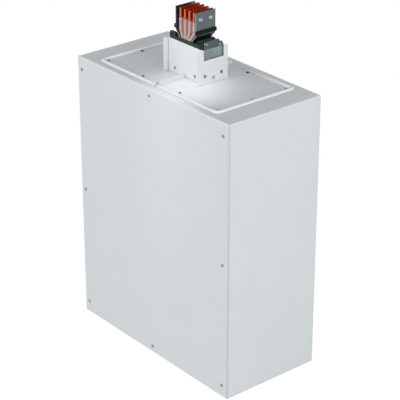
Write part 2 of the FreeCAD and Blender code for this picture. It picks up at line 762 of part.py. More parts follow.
def foot_end(side, name):
    """Angle under the roof that carries a web, open in the middle for the bars."""
    body = new_body(f"foot_angle_{name}")
    base = f"({ROOF_UNDER} - foot_sheet)"
    inner = mirrored(side, f"({WEB_INNER} - foot_sheet)")
    face = mirrored(side, WEB_INNER)
    toe = mirrored(side, f"({WEB_OUTER} + foot_reach)")
    head = f"({ROOF_UNDER} + foot_height)"
    pad(body, outline(side_view(body), [(inner, base), (toe, base), (toe, ROOF_UNDER), (face, ROOF_UNDER),
                                        (face, head), (inner, head)]), "foot_length", symmetric=True)
    round_edges(body, straight_edges(body, X_AXIS, y=[inner], z=[base]), "foot_sheet")
    window = rectangle(plan(body, head), "-foot_window / 2", "foot_window / 2",
                       mirrored(side, f"({WEB_INNER} - 2 * foot_sheet)"),
                       mirrored(side, f"({WEB_OUTER} + trunk_clear)"))
    pocket(body, window, "foot_height + foot_sheet")
    holes = [(f"({end} * web_screw_spread / 2)", "(box_height + web_screw_rise)") for end in (-1, 1)]
    pocket(body, polygons(elevation(body), holes, "screw_hole"), "flange_width", symmetric=True)


def spacer_block(side, name):
    """Moulded block between a foot and the bar pack, drilled for the domed screw."""
    body = new_body(f"spacer_block_{name}")
    near = mirrored(side, f"({PLATE_OUTER} + pack_clear)")
    far = mirrored(side, f"({TRUNK_INNER} - foot_sheet)")
    base = "(box_height + block_rise)"
    block = rectangle(elevation(body), near, far, base, f"{base} + block_height")
    pad(body, block, "block_width", symmetric=True)
    hole = polygons(side_view(body, far), [("0", "(box_height + dome_screw_rise)")], "screw_hole")
    pocket(body, hole, "2 * screw_grip", reverse=side < 0)


def bar_places(index):
    """Formulas for a bar's places along X at the joint, in the pack and at its terminal."""
    steps = index - (len(BARS) - 1) / 2
    in_pack = f"({steps} * {BAR_PITCH})"
    at_joint = f"({STRAIGHT_BAR - (len(BARS) - 1) / 2} * {BAR_PITCH} + {index - STRAIGHT_BAR} * joint_pitch)"
    at_terminal = f"({steps} * terminal_pitch)"
    return at_joint, in_pack, at_terminal


def flare(index, top, bottom):
    """Stations of a bar from its joint end down to the pack. One bar runs straight."""
    at_joint, in_pack, _ = bar_places(index)
    if index == STRAIGHT_BAR:
        return [(in_pack, top), (in_pack, bottom)]
    bend = "(box_height + flare_top)"
    return [(at_joint, top), (at_joint, bend), (in_pack, f"({bend} - flare_height)"), (in_pack, bottom)]


def busbar(index, name):
    """Copper bar: flared joint end, straight run through the trunk, fanned out to a drilled palm."""
    body = new_body(f"busbar_{name}")
    _, in_pack, at_terminal = bar_places(index)
    inner_pair = index in (1, 2)
    fan_top = "(box_height - fan_drop - fan_step)" if inner_pair else "(box_height - fan_drop)"
    fan_end = f"({fan_top} - fan_slope * abs({at_terminal} - {in_pack}))"
    stations = flare(index, JOINT_TOP, fan_top) + [(at_terminal, fan_end), (at_terminal, "palm_end")]
    bent_strip(body, stations, "(bar_thickness / 2)", "bar_width", "bar_bend")
    corners = straight_edges(body, X_AXIS, y=["-bar_width / 2", "bar_width / 2"], z=["palm_end"])
    round_edges(body, corners, "palm_corner")
    holes = [("0", "(palm_end + palm_hole_inset)"), ("0", "(palm_end + palm_hole_inset + palm_hole_pitch)")]
    drilling = circles(side_view(body, at_terminal), holes, "palm_hole_radius")
    pocket(body, drilling, "2 * bar_thickness", symmetric=True)
    return body


def bar_sleeve(index, name, bar):
    """Insulation moulded round a bar, from below the bare copper to just inside the box."""
    form = new_body(f"bar_sleeve_{name}_form", keep=False)
    stations = flare(index, f"({JOINT_TOP} - bare_length)", "(box_height - sleeve_bottom)")
    half = "(bar_thickness / 2 + sleeve_wall)"
    bent_strip(form, stations, half, "bar_width + 2 * sleeve_wall", "(bar_bend - sleeve_wall)")
    sleeve = doc.addObject("Part::Cut", f"bar_sleeve_{name}")
    sleeve.Label = f"bar_sleeve_{name}"
    sleeve.Base = form
    sleeve.Tool = bar
    doc.recompute()
    pieces.append(sleeve)


def housing_plate(side, name):
    """Outer plate of the bar pack, flared at the joint end, with two pressed dimples."""
    body = new_body(f"housing_plate_{name}")
    at_joint = mirrored(side, "((plate_spread - plate_sheet) / 2)")
    in_pack = mirrored(side, f"({PLATE_INNER} + plate_sheet / 2)")
    stations = [(at_joint, JOINT_TOP), (at_joint, PLATE_BEND), (in_pack, PLATE_SET),
                (in_pack, "(box_height - plate_bottom)")]
    bent_strip(body, stations, "(plate_sheet / 2)", f"2 * {PACK_Y}", "plate_sheet")
    places = [(f"({end} * dimple_spread / 2)", f"({JOINT_TOP} - dimple_drop)") for end in (-1, 1)]
    face = mirrored(side, "(plate_spread / 2)")
    back = mirrored(side, "(plate_spread / 2 - plate_sheet)")
    pad(body, polygons(side_view(body, face), places, "dimple_radius", DIMPLE_SIDES), "dimple_height",
        reverse=side < 0, taper="-dimple_taper")
    hollow = polygons(side_view(body, back), places, "(dimple_radius - plate_sheet)", DIMPLE_SIDES)
    pocket(body, hollow, "dimple_height", reverse=side > 0)


def clamp_strip(side, name):
    """Black strip across the outside of a housing plate, just above its bend."""
    body = new_body(f"clamp_strip_{name}")
    near = mirrored(side, "(plate_spread / 2)")
    far = mirrored(side, "(plate_spread / 2 + strip_thickness)")
    base = f"({PLATE_BEND} + strip_lift)"
    pad(body, rectangle(elevation(body), near, far, base, f"{base} + strip_height"),
        f"2 * ({PACK_Y} + strip_overhang)", symmetric=True)
    edges = straight_edges(body, Y_AXIS, x=[far], z=[base, f"{base} + strip_height"])
    round_edges(body, edges, "strip_edge")


def shield_form(side, name):
    """Bent plate behind a notch: an upright skirt and a stepped flange that leans in over the collar."""
    body = new_body(f"joint_shield_{name}_form", keep=False)
    skew_drop = f"(({SHIELD_SKEW} - shield_sheet) * {SHIELD_SLOPE})"
    tip = f"({SHIELD_OUTER} - shield_run)"
    profile = [(SHIELD_OUTER, SHIELD_LOW), (SHIELD_OUTER, SHIELD_BEND), (tip, SHIELD_TOP),
               (f"({tip} - {SHIELD_SKEW})", SHIELD_TOP), (SHIELD_INNER, f"({SHIELD_BEND} - {skew_drop})"),
               (SHIELD_INNER, SHIELD_LOW)]
    reach = f"({WEB_INNER} - pack_clear)"
    front = f"(shield_front_inset - {reach})"
    inside = f"({tip} - 2 * {SHIELD_SKEW})"
    step = f"({SHIELD_REAR} - shield_step_back)"
    slant = [(SHIELD_OUTER, f"-2 * {reach}"), (SHIELD_OUTER, front),
             (inside, f"({front} + shield_front_slant)"), (inside, f"-2 * {reach}")]
    notch = [(SHIELD_OUTER, step), (SHIELD_OUTER, f"2 * {reach}"), (inside, f"2 * {reach}"), (inside, step)]
    if side < 0:
        profile, slant, notch = flip(profile), flip(slant), flip(notch)
    pad(body, outline(elevation(body, SHIELD_REAR), profile), f"{SHIELD_REAR} + {reach}")
    pocket(body, outline(plan(body, SHIELD_TOP), slant), "shield_rise")
    pocket(body, outline(plan(body, SHIELD_TOP), notch), "shield_rise - shield_step_rise")
    return body


def shield_places(side):
    """Screw places on a shield's leaning flange: one high up in front, one low at the rear."""
    places = []
    for y, share in (("-shield_screw_front", "shield_share_front"),
                     ("shield_screw_rear", "shield_share_rear")):
        x = mirrored(side, f"({SHIELD_OUTER} - shield_run * {share})")
        places.append((x, y, f"({SHIELD_BEND} + shield_rise * {share})"))
    return places


def tilted_copies(source, side):
    copies = []
    for x, y, z in shield_places(side):
        copy = place_copy(source, x, y, z, FreeCAD.Vector(0, side, 0), 45)
        copy.setExpression("Placement.Rotation.Angle", formula("atan(shield_rise / shield_run)"))
        copies.append(copy)
    return copies


def end_collar_form():
    """Black moulding on top of the trunk: plug, rim over the webs, shoulders and a pierced lug."""
    body = new_body("end_collar_form", keep=False)
    low = f"({TRUNK_TOP} - collar_depth)"
    plug = [(COLLAR_SIDE, low), (COLLAR_SIDE, COLLAR_KNEE), (COLLAR_END, COLLAR_TOP)]
    plug_form = outline(elevation(body), plug + flip(plug)[::-1])
    pad(body, plug_form, f"2 * ({WEB_INNER} - pack_clear)", symmetric=True)
    rim = [(COLLAR_FOOT, TRUNK_TOP), (COLLAR_END, COLLAR_TOP)]
    pad(body, outline(elevation(body), rim + flip(rim)[::-1]), f"2 * {WEB_OUTER}", symmetric=True)
    for y in (f"-{WEB_OUTER}", WEB_OUTER):
        round_edges(body, straight_edges(body, X_AXIS, y=[y], z=[COLLAR_TOP]), "collar_edge")
    for side in (-1, 1):
        middle = mirrored(side, "shoulder_inset")
        ends = [f"{middle} - shoulder_width / 2", f"{middle} + shoulder_width / 2"]
        crest = f"({COLLAR_TOP} + shoulder_height)"
        shoulder = rectangle(elevation(body), *ends, f"{COLLAR_TOP} - shoulder_height", crest)
        pad(body, shoulder, f"2 * {PACK_Y} - 2 * lug_thickness", symmetric=True)
        round_edges(body, straight_edges(body, Y_AXIS, x=ends, z=[crest]), "shoulder_round")
    lug_left = f"(lug_inset - {COLLAR_SIDE})"
    lug_right = f"(lug_inset - {COLLAR_SIDE} + lug_width)"
    lug_top = f"({TRUNK_TOP} + lug_height)"
    lug_face = f"-{WEB_OUTER}"
    lug = rectangle(elevation(body, lug_face), lug_left, lug_right, f"{TRUNK_TOP} + collar_edge", lug_top)
    pad(body, lug, "lug_thickness", reverse=True)
    round_edges(body, straight_edges(body, Y_AXIS, x=[lug_left, lug_right], z=[lug_top]), "lug_round")
    eye = [(f"(lug_inset - {COLLAR_SIDE} + lug_width / 2)", f"({TRUNK_TOP} + lug_hole_rise)")]
    pocket(body, polygons(elevation(body, lug_face), eye, "lug_hole_radius", DIMPLE_SIDES), "lug_thickness")
    lean = f"((plate_spread / 2 - {PLATE_OUTER}) / plate_flare_height)"
    throat = f"({PLATE_OUTER} + pack_clear)"
    mouth = f"({COLLAR_TOP} + shoulder_height)"
    knee = f"({PLATE_SET} - plate_sheet)"
    slot = [(throat, f"{low} - 1"), (throat, knee), (f"({throat} + ({mouth} - {knee}) * {lean})", mouth)]
    slit = outline(elevation(body), slot + flip(slot)[::-1])
    pocket(body, slit, f"2 * ({PACK_Y} + pack_clear)", symmetric=True)
    return body


def pierced(label, form, pins):
    """A form drilled by a set of pins."""
    cut = doc.addObject("Part::Cut", label)
    cut.Label = label
    cut.Base = form
    cut.Tool = pins
    doc.recompute()
    pieces.append(cut)


def comb(side, name):
    """Insulating support with a slot for the edge of each bar."""
    body = new_body(f"comb_{name}")
    reach = f"({(len(BARS) - 1) / 2} * terminal_pitch + comb_overhang)"
    pad(body, rectangle(plan(body, "comb_level"), f"-{reach}", reach, mirrored(side, COMB_FACE),
                        mirrored(side, COMB_BACK)), "comb_height")
    sketch = plan(body, COMB_TOP)
    for index in range(len(BARS)):
        at_terminal = bar_places(index)[2]
        half = "(bar_thickness / 2 + comb_clear)"
        rectangle(sketch, f"{at_terminal} - {half}", f"{at_terminal} + {half}",
                  mirrored(side, f"({COMB_FACE} - comb_grip)"),
                  mirrored(side, "(bar_width / 2 + comb_clear)"))
    pocket(body, sketch, "comb_height")
    holes = [(mirrored(end, "terminal_pitch"), "(comb_level + comb_height / 2)") for end in (-1, 1)]
    pocket(body, polygons(elevation(body), holes, "bolt_hole"), f"3 * {COMB_BACK}", symmetric=True)


def support_bracket(side, name):
    """Folded bracket from the back panel to the rear comb."""
    body = new_body(f"support_bracket_{name}")
    near = "(terminal_pitch - bracket_face / 2)"
    far = "(terminal_pitch + bracket_face / 2)"
    foot = "(terminal_pitch + bracket_face / 2 + bracket_foot)"
    face_back = f"({COMB_BACK} + bracket_sheet)"
    foot_front = f"({BACK_INNER} - bracket_sheet)"
    web = "(terminal_pitch + bracket_face / 2 - bracket_sheet)"
    profile = [(near, COMB_BACK), (far, COMB_BACK), (far, foot_front), (foot, foot_front), (foot, BACK_INNER),
               (web, BACK_INNER), (web, face_back), (near, face_back)]
    if side < 0:
        profile = flip(profile)
    pad(body, outline(plan(body, "comb_level"), profile), "comb_height")
    bends = straight_edges(body, Z_AXIS, x=[mirrored(side, far)], y=[COMB_BACK])
    bends += straight_edges(body, Z_AXIS, x=[mirrored(side, web)], y=[BACK_INNER])
    round_edges(body, bends, "bracket_sheet")
    place = (mirrored(side, "terminal_pitch"), "(comb_level + comb_height / 2)")
    pocket(body, polygons(elevation(body), [place], "bolt_hole"), f"3 * {COMB_BACK}", symmetric=True)


def earth_bar():
    body = new_body("earth_bar")
    pad(body, rectangle(elevation(body, EARTH_BACK), "-earth_length / 2", "earth_length / 2",
                        "earth_level", "earth_level + earth_height"), "earth_thickness")
    middle = "(earth_level + earth_height / 2)"
    lugs = [(f"({step} * earth_hole_pitch)", middle) for step in (-2.5, -1.5, -0.5, 0.5, 1.5, 2.5)]
    ends = [(mirrored(end, "(earth_length / 2 - earth_end)"), middle) for end in (-1, 1)]
    drilling = polygons(elevation(body, EARTH_FRONT), lugs, "earth_hole_radius", HEAD_SIDES)
    pocket(body, polygons(drilling, ends, "bolt_hole"), "earth_thickness")


def fasteners():
    """Every set of screws, nuts and bolts, at the places their holes have."""
    round_head = (HEAD_SIDES, "head_radius", "head_height")
    flat_head = (HEAD_SIDES, "head_radius", "flat_head_height")
    bolt_head = (6, "bolt_head_radius", "bolt_head_height")
    cover_grip = "cover_sheet + cover_gap + box_sheet + screw_grip"
    cover_screw = screw_template("cover_screw", round_head, "screw_radius", cover_grip)
    rivet_nut = rivet_nut_template()
    cover_places = COVER_SCREWS + [SILL_SCREW]
    group("cover_screws", [place_copy(cover_screw, x, FRONT, z, X_AXIS, 90) for x, z in cover_places])
    group("cover_rivet_nuts", [place_copy(rivet_nut, x, FRAME_FRONT, z, X_AXIS, 90) for x, z in cover_places])
    flange_screw = screw_template("flange_screw", (HEAD_SIDES, "flange_head_radius", "flat_head_height"),
                                  "screw_radius", "flange_sheet + box_sheet + screw_grip / 2")
    group("flange_screws", [place_copy(flange_screw, x, y, FLANGE_FLOOR) for x, y in FLANGE_SCREWS])
    gland_screw = screw_template("gland_screw", round_head, "screw_radius",
                                 "gland_sheet + gland_seal + box_sheet / 2")
    group("gland_screws", [place_copy(gland_screw, x, y, "box_sheet + gland_seal + gland_sheet")
                           for x, y in GLAND_SCREWS[-1] + GLAND_SCREWS[1]])
    flat_screw = screw_template("trunk_flat_screw", flat_head, "screw_radius", "2 * trunk_sheet")
    group("trunk_flat_screws", [place_copy(flat_screw, mirrored(side, TRUNK_X),
                                           f"{end} * side_screw_spread / 2", "box_height + side_screw_rise",
                                           Y_AXIS, 90 * side)
                                for side in (-1, 1) for end in (-1, 1)])
    dome_screw = screw_template("trunk_dome_screw", round_head, "screw_radius",
                                "trunk_sheet + foot_sheet + screw_grip")
    group("trunk_dome_screws", [place_copy(dome_screw, mirrored(side, TRUNK_X), "0",
                                           "box_height + dome_screw_rise", Y_AXIS, 90 * side)
                                for side in (-1, 1)])
    web_screw = screw_template("trunk_web_screw", round_head, "screw_radius", "trunk_sheet + foot_sheet")
    group("trunk_web_screws", [place_copy(web_screw, f"{end} * web_screw_spread / 2",
                                          mirrored(side, WEB_OUTER), "box_height + web_screw_rise",
                                          X_AXIS, -90 * side)
                               for side in (-1, 1) for end in (-1, 1)])
    shield_screw = screw_template("shield_screw", round_head, "screw_radius", "shield_sheet + screw_grip")
    group("shield_screws", [copy for side in (-1, 1) for copy in tilted_copies(shield_screw, side)])
    support_bolt = screw_template("support_bolt", bolt_head, "bolt_radius",
                                  f"2 * {COMB_BACK} + bracket_sheet + 2 * nut_height")
    support_nut = nut_template("support_nut", "bolt_head_radius", "bolt_hole", "bolt_head_height")
    level = "comb_level + comb_height / 2"
    bolts = [place_copy(support_bolt, mirrored(side, "terminal_pitch"), f"-{COMB_BACK}", level, X_AXIS, 90)
             for side in (-1, 1)]
    nuts = [place_copy(support_nut, mirrored(side, "terminal_pitch"), f"{COMB_BACK} + bracket_sheet", level,
                       X_AXIS, -90) for side in (-1, 1)]
    group("support_bolts", bolts + nuts)
    pillar = nut_template("earth_pillar", "standoff_radius", "bolt_hole", "earth_standoff")
    earth_bolt = screw_template("earth_bolt", bolt_head, "bolt_radius", "earth_thickness + earth_standoff")
    for label, template, y in (("earth_standoffs", pillar, BACK_INNER),
                               ("earth_bolts", earth_bolt, EARTH_FRONT)):
        group(label, [place_copy(template, mirrored(side, "(earth_length / 2 - earth_end)"), y,
                                 "earth_level + earth_height / 2", X_AXIS, 90) for side in (-1, 1)])


def shields_and_collar():
    """The collar and both shields, drilled on one set of axes."""
    pin = new_body("shield_pin", keep=False)
    depth = "(shield_sheet + 1.5 * screw_grip)"
    pad(pin, polygons(plan(pin, f"-{depth}"), [("0", "0")], "screw_hole"), f"{depth} + screw_grip")
    collar_pins = []
    for side, name in ((-1, "left"), (1, "right")):
        pins = group(f"shield_pins_{name}", tilted_copies(pin, side), keep=False)
        pierced(f"joint_shield_{name}", shield_form(side, name), pins)
        collar_pins += tilted_copies(pin, side)
    pierced("end_collar", end_collar_form(), group("collar_pins", collar_pins, keep=False))


def write_pieces():
    doc.recompute()
    for item in doc.Objects:
        if "Invalid" in item.State or "Error" in item.State:
            raise RuntimeError(f"{item.Label} did not build: {item.State}")
    for piece in pieces:
        if piece.Shape.isNull() or not piece.Shape.isValid() or not piece.Shape.Solids:
            raise RuntimeError(f"{piece.Label} has no sound solid")
    os.makedirs("parts", exist_ok=True)
    for piece in pieces:
        piece.Shape.exportStep(f"parts/{piece.Label}.step")
        print(f"{piece.Label}: {len(piece.Shape.Solids)} solids, {piece.Shape.Volume:.1f} mm3")


def main():
    enter_sizes()
    enclosure_shell()
    back_panel()
    bottom_panel()
    front_cover()
    cover_gasket()
    cover_stiffener()
    for side, name in ((-1, "left"), (1, "right")):
        gland_set(side, name)
        flange_half(side, name)
        trunk_side(side, name)
        foot_side(side, name)
        spacer_block(side, name)
        housing_plate(side, name)
        clamp_strip(side, name)
        support_bracket(side, name)
    for side, name in ((-1, "front"), (1, "rear")):
        trunk_web(side, name)
        foot_end(side, name)
        comb(side, name)
    for index, name in enumerate(BARS):
        bar_sleeve(index, name, busbar(index, name))
    shields_and_collar()
    earth_bar()
    fasteners()
    write_pieces()


main()
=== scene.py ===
import json
import math

import bmesh
import bpy
import numpy as np
from mathutils import Matrix, Vector


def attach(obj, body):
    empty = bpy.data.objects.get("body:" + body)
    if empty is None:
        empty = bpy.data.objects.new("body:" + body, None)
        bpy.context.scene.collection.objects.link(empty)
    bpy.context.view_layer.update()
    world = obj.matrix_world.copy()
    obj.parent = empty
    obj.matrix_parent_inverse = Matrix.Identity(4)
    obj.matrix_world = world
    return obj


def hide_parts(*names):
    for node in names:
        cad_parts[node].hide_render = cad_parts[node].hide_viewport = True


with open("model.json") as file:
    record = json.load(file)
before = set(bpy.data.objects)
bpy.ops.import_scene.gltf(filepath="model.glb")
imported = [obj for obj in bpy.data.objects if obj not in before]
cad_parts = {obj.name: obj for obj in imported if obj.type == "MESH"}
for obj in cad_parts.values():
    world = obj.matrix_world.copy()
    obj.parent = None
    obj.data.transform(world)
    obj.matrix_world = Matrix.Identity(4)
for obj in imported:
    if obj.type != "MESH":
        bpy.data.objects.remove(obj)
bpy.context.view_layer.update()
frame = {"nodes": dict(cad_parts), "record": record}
nodes = frame["nodes"]
scene = bpy.context.scene

MM = 0.001

# Camera, fitted to the corners of the box in the photograph
CAMERA_AZIMUTH = math.radians(50.419)
CAMERA_ELEVATION = math.radians(25.67)
CAMERA_RIGHT = 11.437 * MM
CAMERA_UP = 362.559 * MM
CAMERA_DISTANCE = 4364.236 * MM
CAMERA_LENS = 145.11
SENSOR_WIDTH = 36.0

# Front and rear edges of the bars
bar_depths = [corner.co.y for corner in nodes["busbar_l1"].data.vertices]
BAR_FRONT, BAR_REAR = min(bar_depths), max(bar_depths)

# How far out along Y the pan's bead lies, and where along X its two halves meet
BEAD_SHARE = 0.9
pan_corners = [corner.co for corner in nodes["flange_half_left"].data.vertices]
BEAD_OUT = BEAD_SHARE * max(corner.y for corner in pan_corners)
BEAD_SEAM = max(corner.x for corner in pan_corners if corner.y < -BEAD_OUT)
SEAM_REACH = 2.2 * MM

# Middle of the pool of light on the roof, where along X it falls off, and its share inside the bead
POOL_X = 60 * MM
POOL_NEAR = 55 * MM
POOL_FAR = 165 * MM
POOL_INSIDE = 0.4


# Materials

class Shader:
    """A procedural material whose textures run in the frame's own metres."""

    def __init__(self, name):
        self.material = bpy.data.materials.new(name)
        self.material.use_nodes = True
        self.tree = self.material.node_tree
        self.surface = self.tree.nodes["Principled BSDF"]
        self.place = self.tree.nodes.new("ShaderNodeTexCoord").outputs["Object"]

    def set(self, **values):
        for name, value in values.items():
            self.surface.inputs[name.replace("_", " ")].default_value = value
        return self

    def node(self, kind, **inputs):
        node = self.tree.nodes.new(kind)
        for name, value in inputs.items():
            socket = node.inputs[name.replace("_", " ")]
            if isinstance(value, bpy.types.NodeSocket):
                self.tree.links.new(value, socket)
            else:
                socket.default_value = value
        return node

    def link(self, socket, name):
        self.tree.links.new(socket, self.surface.inputs[name])

    def stretched(self, scale):
        return self.node("ShaderNodeMapping", Vector=self.place, Scale=scale).outputs["Vector"]

    def noise(self, scale, detail=3.0, rough=0.55, vector=None):
        node = self.node("ShaderNodeTexNoise", Vector=vector or self.place, Scale=scale, Detail=detail,
                         Roughness=rough)
        return node.outputs["Fac"]

    def cells(self, scale, vector=None):
        node = self.node("ShaderNodeTexVoronoi", Vector=vector or self.place, Scale=scale)
        return node.outputs["Color"]

    def spread(self, value, low, high, start=0.3, end=0.7):
        node = self.node("ShaderNodeMapRange", Value=value)
        node.inputs["From Min"].default_value = start
        node.inputs["From Max"].default_value = end
        node.inputs["To Min"].default_value = low
        node.inputs["To Max"].default_value = high
        return node.outputs["Result"]

    def blend(self, factor, first, second):
        node = self.tree.nodes.new("ShaderNodeMix")
        node.data_type = "RGBA"
        self.tree.links.new(factor, node.inputs["Factor"])
        for socket, value in ((node.inputs["A"], first), (node.inputs["B"], second)):
            if isinstance(value, bpy.types.NodeSocket):
                self.tree.links.new(value, socket)
            else:
                socket.default_value = (*value, 1.0)
        return node.outputs["Result"]

    def bump(self, height, strength, distance, below=None):
        node = self.node("ShaderNodeBump", Height=height, Strength=strength, Distance=distance)
        if below:
            self.tree.links.new(below, node.inputs["Normal"])
        return node.outputs["Normal"]

    def soft_edges(self, radius):
        """Normals that round the sheet's edges off, as paint and rolling do."""
        node = self.node("ShaderNodeBevel", Radius=radius)
        node.samples = 6
        return node.outputs["Normal"]

    def combine(self, kind, operation, first, second=None):
        """Result of a math node, or of a vector math node, on one or two sockets."""
        node = self.tree.nodes.new(kind)
        node.operation = operation
        self.tree.links.new(first, node.inputs[0])
        if second:
            self.tree.links.new(second, node.inputs[1])
        return next(socket for socket in node.outputs if socket.enabled)

    def lean(self):
        """Sizes of the true normal's parts along X, Y and Z."""
        normal = self.node("ShaderNodeNewGeometry").outputs["Normal"]
        sizes = self.combine("ShaderNodeVectorMath", "ABSOLUTE", normal)
        return self.node("ShaderNodeSeparateXYZ", Vector=sizes).outputs

    def near_edges(self, rounded):
        """One along the rounded edges, zero on the flats."""
        normal = self.node("ShaderNodeNewGeometry").outputs["Normal"]
        along = self.combine("ShaderNodeVectorMath", "DOT_PRODUCT", rounded, normal)
        return self.spread(along, 1.0, 0.0, 0.9, 0.995)

    def on_bevels(self):
        """One on the slanted faces, zero on those that look along an axis."""
        x, y, z = self.lean()
        level = self.combine("ShaderNodeMath", "MAXIMUM", x, y)
        most = self.combine("ShaderNodeMath", "MAXIMUM", level, z)
        return self.spread(most, 1.0, 0.0, 0.8, 0.98)

    def leaning(self):
        """One on the faces that lean up or down, zero on the upright ones."""
        return self.spread(self.lean()["Z"], 0.0, 1.0, 0.2, 0.5)

    def away(self, place):
        """Distances along X, Y and Z from a place along X."""
        moved = self.node("ShaderNodeMapping", Vector=self.place, Location=(-place, 0.0, 0.0))
        sizes = self.combine("ShaderNodeVectorMath", "ABSOLUTE", moved.outputs["Vector"])
        return self.node("ShaderNodeSeparateXYZ", Vector=sizes).outputs

    def by_bead(self, place, near, far, inside):
        """One by a place along X, fading to zero, and only a share of that inside the pan's bead."""
        x, y, _ = self.away(place)
        along = self.spread(x, 1.0, 0.0, near, far)
        outward = self.spread(y, inside, 1.0, BEAD_OUT, BEAD_OUT + SEAM_REACH)
        return self.combine("ShaderNodeMath", "MULTIPLY", along, outward)

    def facing(self, axis):
        """One on the faces that look along an axis, either way, and zero on the others."""
        return self.spread(self.lean()[axis], 0.0, 1.0, 0.6, 0.85)


# Powder coat of the box and the pan, the painted shade of its upright edges, and the painted shade along
# the bead's seam
BOX_COLOUR = (0.655, 0.690, 0.698)
BOX_GLOSS = 0.55
UPRIGHT_EDGE_SHADE = 0.89
SEAM_SHADE = 0.45


def scaled(colour, factor):
    return tuple(part * factor for part in colour)


def paint(name, colour, gloss, edge, edge_highlight, pool_edge_highlight, seam=False):
    """Powder coat: fine orange peel, faint clouds, a clear skin, a painted highlight on the top edges and
    painted shade on the upright ones.

    The pool of light brightens the top edges near it, so there their painted highlight has a factor of its
    own. With the seam on, painted shade runs along the seam.
    """
    shader = Shader(name)
    cloud = shader.spread(shader.noise(9.0), 0.0, 1.0)
    tone = shader.blend(cloud, scaled(colour, 0.985), scaled(colour, 1.012))
    rounded = shader.soft_edges(edge)
    edges = shader.combine("ShaderNodeMath", "MAXIMUM", shader.near_edges(rounded), shader.on_bevels())
    rise = shader.node("ShaderNodeSeparateXYZ", Vector=rounded).outputs["Z"]
    upward = shader.spread(rise, 0.0, 1.0, 0.1, 0.4)
    in_pool = shader.by_bead(POOL_X, POOL_NEAR, POOL_FAR, POOL_INSIDE)
    # Painted highlight on the top edges, with a factor of its own near the pool of light, and painted shade
    # on the upright edges
    top_edge_highlight_tone = shader.blend(in_pool, scaled(colour, edge_highlight), scaled(colour, pool_edge_highlight))
    edge_highlight_and_shade = shader.blend(upward, scaled(colour, UPRIGHT_EDGE_SHADE), top_edge_highlight_tone)
    coat = shader.blend(edges, tone, edge_highlight_and_shade)
    # Painted shade of the gap where the pan's two halves meet
    if seam:
        in_seam = shader.by_bead(BEAD_SEAM, 0.5 * SEAM_REACH, SEAM_REACH, 0.0)
        coat = shader.blend(in_seam, coat, scaled(colour, SEAM_SHADE))
    shader.link(coat, "Base Color")
    shader.link(shader.spread(shader.noise(55.0), 0.34, 0.44), "Roughness")
    shader.link(shader.bump(shader.noise(520.0, 1.0), 0.05, 0.0003, rounded), "Normal")
    shader.set(Coat_Weight=gloss, Coat_Roughness=0.12, Coat_IOR=1.7)
    return shader.material


def zinc(name, colour, rough, sloped_shade=1.0, sheared_highlight=1.0):
    """Galvanised sheet: dull spangle, rolling streaks, a little white bloom and a painted highlight along
    the rounded edges.

    Faces that lean upwards can have painted shade of their own, and cut edges that look along Y a painted
    highlight of their own.
    """
    shader = Shader(name)
    spangle = shader.node("ShaderNodeSeparateColor", Color=shader.cells(120.0)).outputs["Red"]
    flake = shader.spread(spangle, 0.0, 1.0, 0.0, 1.0)
    mottled = shader.blend(flake, scaled(colour, 0.97), scaled(colour, 1.03))
    bloom = shader.spread(shader.noise(28.0, 5.0), 0.0, 0.4, 0.55, 0.8)
    rounded = shader.soft_edges(0.0008)
    flat = shader.blend(bloom, mottled, scaled(colour, 1.1))
    # Painted shade on the faces that lean upwards
    tone = shader.blend(shader.leaning(), flat, scaled(colour, sloped_shade))
    # Painted highlight along the rounded edges
    highlighted_edges = shader.blend(shader.near_edges(rounded), tone, scaled(colour, 1.5))
    # Painted highlight on the cut edges that look along Y
    shader.link(shader.blend(shader.facing("Y"), highlighted_edges, scaled(colour, sheared_highlight)), "Base Color")
    streak = shader.noise(1.0, 3.0, 0.6, shader.stretched((40.0, 420.0, 40.0)))
    shader.link(shader.spread(streak, rough - 0.05, rough + 0.06), "Roughness")
    shader.link(shader.bump(streak, 0.04, 0.0002, rounded), "Normal")
    shader.set(Metallic=0.85)
    return shader.material


def plated(name, colour, rough):
    """Fastener metal: fine turning marks and a few dull spots."""
    shader = Shader(name)
    spots = shader.spread(shader.noise(600.0, 4.0), 0.0, 1.0, 0.45, 0.75)
    shader.link(shader.blend(spots, colour, scaled(colour, 0.6)), "Base Color")
    marks = shader.noise(1400.0, 2.0)
    shader.link(shader.spread(marks, rough - 0.06, rough + 0.1), "Roughness")
    shader.link(shader.bump(marks, 0.08, 0.0001), "Normal")
    shader.set(Metallic=1.0)
    return shader.material


def moulding(name, colour, rough, grain, shine=0.3):
    """Moulded polymer with a spark-eroded grain and faint scuffs."""
    shader = Shader(name)
    scuff = shader.spread(shader.noise(70.0, 6.0, 0.7), 0.0, 0.6, 0.52, 0.78)
    shader.link(shader.blend(scuff, colour, scaled(colour, 1.7)), "Base Color")
    shader.link(shader.spread(shader.noise(160.0), rough - 0.06, rough + 0.08), "Roughness")
    shader.link(shader.bump(shader.noise(grain, 2.0), 0.18, 0.0003, shader.soft_edges(0.0008)), "Normal")
    shader.set(Specular_IOR_Level=shine)
    return shader.material


